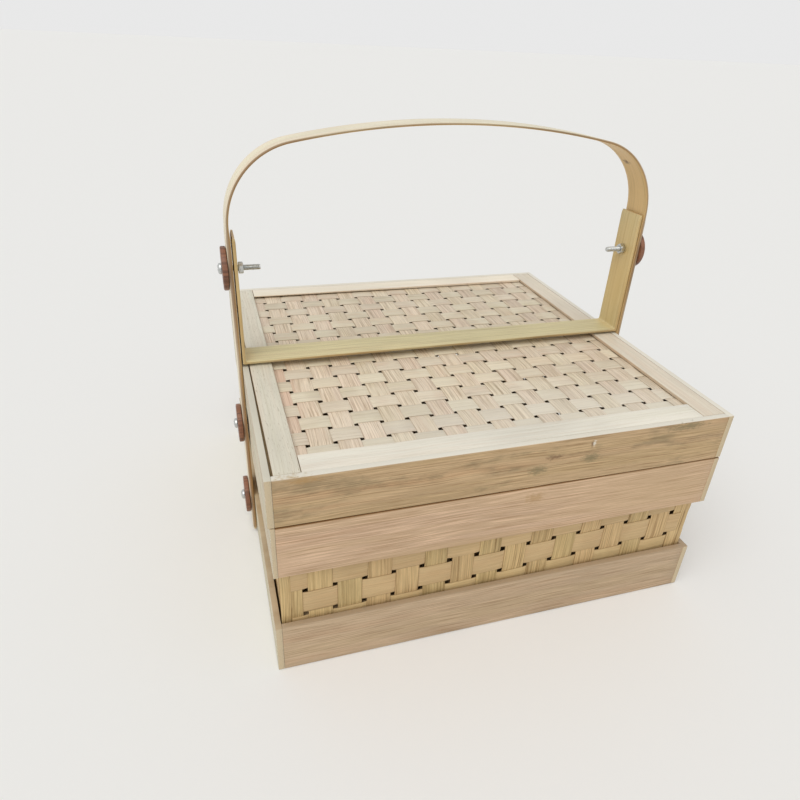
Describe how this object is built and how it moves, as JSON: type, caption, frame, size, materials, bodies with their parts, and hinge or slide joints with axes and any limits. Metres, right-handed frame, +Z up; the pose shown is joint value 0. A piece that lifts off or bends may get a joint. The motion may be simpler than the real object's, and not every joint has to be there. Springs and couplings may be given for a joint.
{
  "type": "bamboo carrying basket",
  "caption": "Square woven bamboo carrying basket with a flush woven lid, an arch handle and a strap that swings over the lid to hold it shut.",
  "frame": {"origin": "on the ground under the middle of the box, where the floor battens and the lower edges of the bottom slats rest", "axes": "+Z up, +X to the right along the handle's span and the pivot axis, +Y to the back"},
  "size_m": [0.3194, 0.291, 0.3075],
  "materials": {
    "rail_bamboo": "pale dry bamboo, satin",
    "skirt_bamboo": "browned bamboo with grey-green streaks, matt",
    "slat_bamboo": "tan bamboo slat, fine grain, matt",
    "band_bamboo": "tan bamboo band, matt",
    "lid_weave": "cream and tan split bamboo, satin",
    "wall_weave": "olive tan split bamboo, streaked, matt",
    "arch_bamboo": "bent bamboo strap, satin",
    "strap_bamboo": "yellow olive bamboo strap, satin",
    "washer_wood": "dark red-brown turned wood, satin",
    "zinc_steel": "zinc plated steel"
  },
  "bodies": {
    "basket": {"back_bottom_slat": "slat_bamboo", "back_foot_band": "band_bamboo", "back_rim_band": "band_bamboo", "back_top_slat": "slat_bamboo", "back_wall_mat": "wall_weave", "floor_back_batten": "slat_bamboo", "floor_front_batten": "slat_bamboo", "floor_mat": "wall_weave", "floor_middle_batten": "slat_bamboo", "front_bottom_slat": "slat_bamboo", "front_foot_band": "band_bamboo", "front_rim_band": "band_bamboo", "front_top_slat": "slat_bamboo", "front_wall_mat": "wall_weave", "handle_arch": "arch_bamboo", "left_bottom_slat": "slat_bamboo", "left_foot_band": "band_bamboo", "left_foot_bolt": "zinc_steel", "left_foot_nut": "zinc_steel", "left_foot_washer": "washer_wood", "left_pivot_bolt": "zinc_steel", "left_pivot_nut": "zinc_steel", "left_pivot_washer": "washer_wood", "left_rim_band": "band_bamboo", "left_slat_bolt": "zinc_steel", "left_slat_nut": "zinc_steel", "left_slat_washer": "washer_wood", "left_top_slat": "slat_bamboo", "left_wall_mat": "wall_weave", "right_bottom_slat": "slat_bamboo", "right_foot_band": "band_bamboo", "right_foot_bolt": "zinc_steel", "right_foot_nut": "zinc_steel", "right_foot_washer": "washer_wood", "right_pivot_bolt": "zinc_steel", "right_pivot_nut": "zinc_steel", "right_pivot_washer": "washer_wood", "right_rim_band": "band_bamboo", "right_slat_bolt": "zinc_steel", "right_slat_nut": "zinc_steel", "right_slat_washer": "washer_wood", "right_top_slat": "slat_bamboo", "right_wall_mat": "wall_weave"},
    "lid": {"back_lid_batten": "slat_bamboo", "back_lid_rail": "rail_bamboo", "back_lid_skirt": "skirt_bamboo", "front_lid_batten": "slat_bamboo", "front_lid_rail": "rail_bamboo", "front_lid_skirt": "skirt_bamboo", "left_lid_batten": "slat_bamboo", "left_lid_rail": "rail_bamboo", "left_lid_skirt": "skirt_bamboo", "lid_mat": "lid_weave", "right_lid_batten": "slat_bamboo", "right_lid_rail": "rail_bamboo", "right_lid_skirt": "skirt_bamboo"},
    "strap": {"retaining_strap": "strap_bamboo"}
  },
  "joints": [
    {"name": "strap_swing", "type": "hinge", "parent": "basket", "child": "strap", "pos_m": [0, 0, 0.2163], "axis": [1, 0, 0], "range_deg": [-130, 130]},
    {"name": "lid_lift", "type": "slide", "parent": "basket", "child": "lid", "axis": [0, 0, 1], "range_m": [0, 0.0014]}
  ]
}
